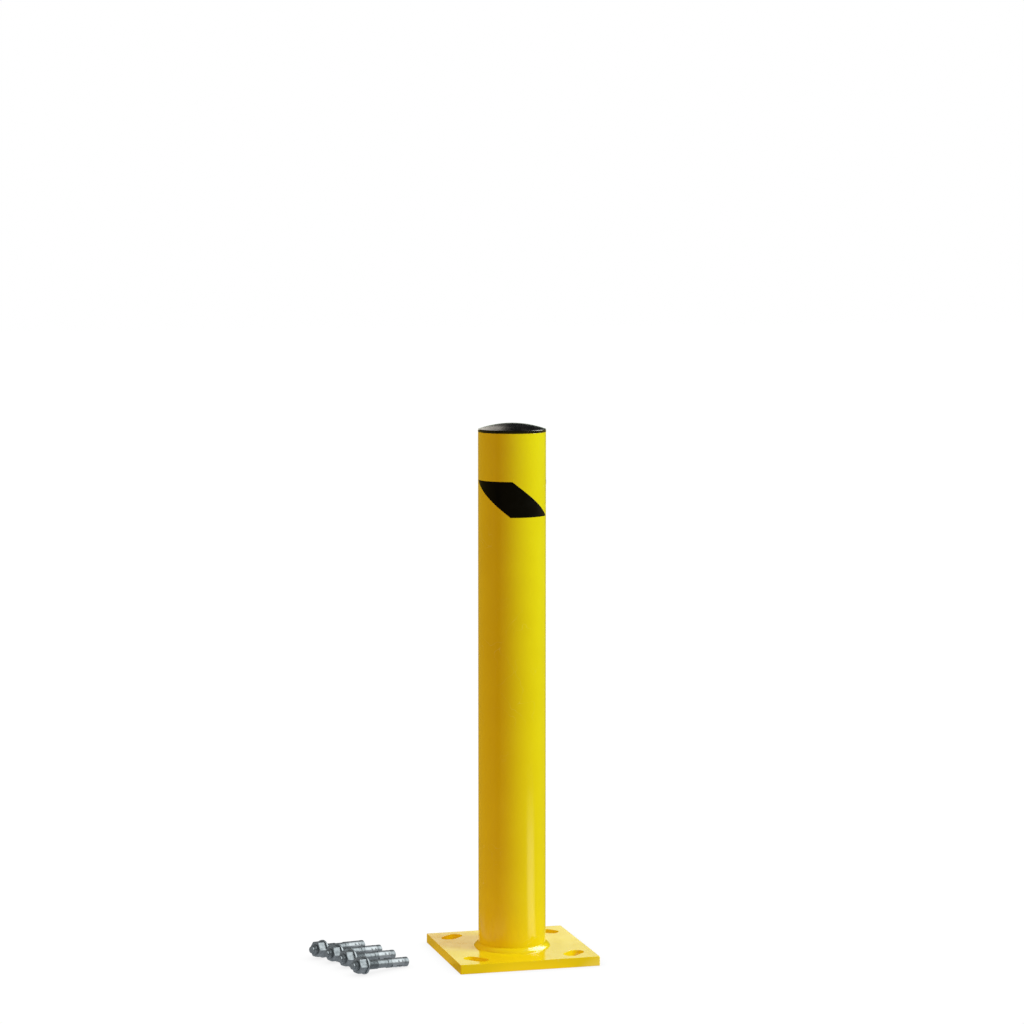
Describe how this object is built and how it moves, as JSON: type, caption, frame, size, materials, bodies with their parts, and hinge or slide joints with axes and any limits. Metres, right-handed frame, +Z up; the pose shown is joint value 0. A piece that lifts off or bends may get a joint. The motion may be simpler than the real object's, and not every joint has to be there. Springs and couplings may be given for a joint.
{
  "type": "safety bollard",
  "caption": "Bolt-down steel safety bollard: capped round post welded to a slotted square base plate, with black tape and loose wedge anchors.",
  "frame": {"origin": "centre of the base plate's underside, on the floor", "axes": "+Z up along the post; +X and +Y along the base plate's sides, with the loose anchors at -X"},
  "size_m": [0.4626, 0.2414, 0.907],
  "materials": {
    "powder_coat": "gloss safety-yellow powder coat",
    "cap_plastic": "satin black moulded polyethylene",
    "tape": "black vinyl tape",
    "zinc_plate": "clear zinc-plated steel"
  },
  "bodies": {
    "post": {"post_tube": "powder_coat", "base_plate": "powder_coat", "base_weld": "powder_coat", "stripe_front": "tape", "stripe_rear": "tape"},
    "cap": {"top_cap": "cap_plastic"},
    "anchor_1_stud": {"anchor_1_stud": "zinc_plate"},
    "anchor_1_clip": {"anchor_1_clip": "zinc_plate"},
    "anchor_1_washer": {"anchor_1_washer": "zinc_plate"},
    "anchor_1_nut": {"anchor_1_nut": "zinc_plate"},
    "anchor_2_stud": {"anchor_2_stud": "zinc_plate"},
    "anchor_2_clip": {"anchor_2_clip": "zinc_plate"},
    "anchor_2_washer": {"anchor_2_washer": "zinc_plate"},
    "anchor_2_nut": {"anchor_2_nut": "zinc_plate"},
    "anchor_3_stud": {"anchor_3_stud": "zinc_plate"},
    "anchor_3_clip": {"anchor_3_clip": "zinc_plate"},
    "anchor_3_washer": {"anchor_3_washer": "zinc_plate"},
    "anchor_3_nut": {"anchor_3_nut": "zinc_plate"},
    "anchor_4_stud": {"anchor_4_stud": "zinc_plate"},
    "anchor_4_clip": {"anchor_4_clip": "zinc_plate"},
    "anchor_4_washer": {"anchor_4_washer": "zinc_plate"},
    "anchor_4_nut": {"anchor_4_nut": "zinc_plate"}
  },
  "joints": [
    {"name": "cap_lift", "type": "slide", "parent": "post", "child": "cap", "axis": [0, 0, 1], "range_m": [0, 0.06]},
    {"name": "anchor_1_lift", "type": "slide", "parent": "post", "child": "anchor_1_stud", "axis": [0, 0, 1], "range_m": [0, 0.15]},
    {"name": "anchor_1_clip_turn", "type": "hinge", "parent": "anchor_1_stud", "child": "anchor_1_clip", "pos_m": [-0.21461, -0.04766, 0.00977], "axis": [-0.907, -0.4134, 0.0804], "continuous": true},
    {"name": "anchor_1_washer_slide", "type": "slide", "parent": "anchor_1_stud", "child": "anchor_1_washer", "axis": [-0.907, -0.4134, 0.0804], "range_m": [-0.0221, 0.0281]},
    {"name": "anchor_1_nut_spin", "type": "hinge", "parent": "anchor_1_washer", "child": "anchor_1_nut", "pos_m": [-0.28245, -0.07857, 0.01579], "axis": [-0.907, -0.4134, 0.0804], "range_deg": [-3960, 5040]},
    {"name": "anchor_2_lift", "type": "slide", "parent": "post", "child": "anchor_2_stud", "axis": [0, 0, 1], "range_m": [0, 0.15]},
    {"name": "anchor_2_clip_turn", "type": "hinge", "parent": "anchor_2_stud", "child": "anchor_2_clip", "pos_m": [-0.22481, 0.00744, 0.00977], "axis": [-0.907, -0.4134, 0.0804], "continuous": true},
    {"name": "anchor_2_washer_slide", "type": "slide", "parent": "anchor_2_stud", "child": "anchor_2_washer", "axis": [-0.907, -0.4134, 0.0804], "range_m": [-0.0221, 0.0281]},
    {"name": "anchor_2_nut_spin", "type": "hinge", "parent": "anchor_2_washer", "child": "anchor_2_nut", "pos_m": [-0.29265, -0.02347, 0.01579], "axis": [-0.907, -0.4134, 0.0804], "range_deg": [-3960, 5040]},
    {"name": "anchor_3_lift", "type": "slide", "parent": "post", "child": "anchor_3_stud", "axis": [0, 0, 1], "range_m": [0, 0.15]},
    {"name": "anchor_3_clip_turn", "type": "hinge", "parent": "anchor_3_stud", "child": "anchor_3_clip", "pos_m": [-0.23871, 0.04974, 0.00977], "axis": [-0.907, -0.4134, 0.0804], "continuous": true},
    {"name": "anchor_3_washer_slide", "type": "slide", "parent": "anchor_3_stud", "child": "anchor_3_washer", "axis": [-0.907, -0.4134, 0.0804], "range_m": [-0.0221, 0.0281]},
    {"name": "anchor_3_nut_spin", "type": "hinge", "parent": "anchor_3_washer", "child": "anchor_3_nut", "pos_m": [-0.30655, 0.01883, 0.01579], "axis": [-0.907, -0.4134, 0.0804], "range_deg": [-3960, 5040]},
    {"name": "anchor_4_lift", "type": "slide", "parent": "post", "child": "anchor_4_stud", "axis": [0, 0, 1], "range_m": [0, 0.15]},
    {"name": "anchor_4_clip_turn", "type": "hinge", "parent": "anchor_4_stud", "child": "anchor_4_clip", "pos_m": [-0.25917, 0.08936, 0.00977], "axis": [-0.8801, -0.468, 0.0804], "continuous": true},
    {"name": "anchor_4_washer_slide", "type": "slide", "parent": "anchor_4_stud", "child": "anchor_4_washer", "axis": [-0.8801, -0.468, 0.0804], "range_m": [-0.0221, 0.0281]},
    {"name": "anchor_4_nut_spin", "type": "hinge", "parent": "anchor_4_washer", "child": "anchor_4_nut", "pos_m": [-0.325, 0.05435, 0.01579], "axis": [-0.8801, -0.468, 0.0804], "range_deg": [-3960, 5040]}
  ],
  "couplings": [
    {"joint": "anchor_1_washer_slide", "follows": "anchor_1_nut_spin", "m_per_rad": 0.00031831},
    {"joint": "anchor_2_washer_slide", "follows": "anchor_2_nut_spin", "m_per_rad": 0.00031831},
    {"joint": "anchor_3_washer_slide", "follows": "anchor_3_nut_spin", "m_per_rad": 0.00031831},
    {"joint": "anchor_4_washer_slide", "follows": "anchor_4_nut_spin", "m_per_rad": 0.00031831}
  ]
}
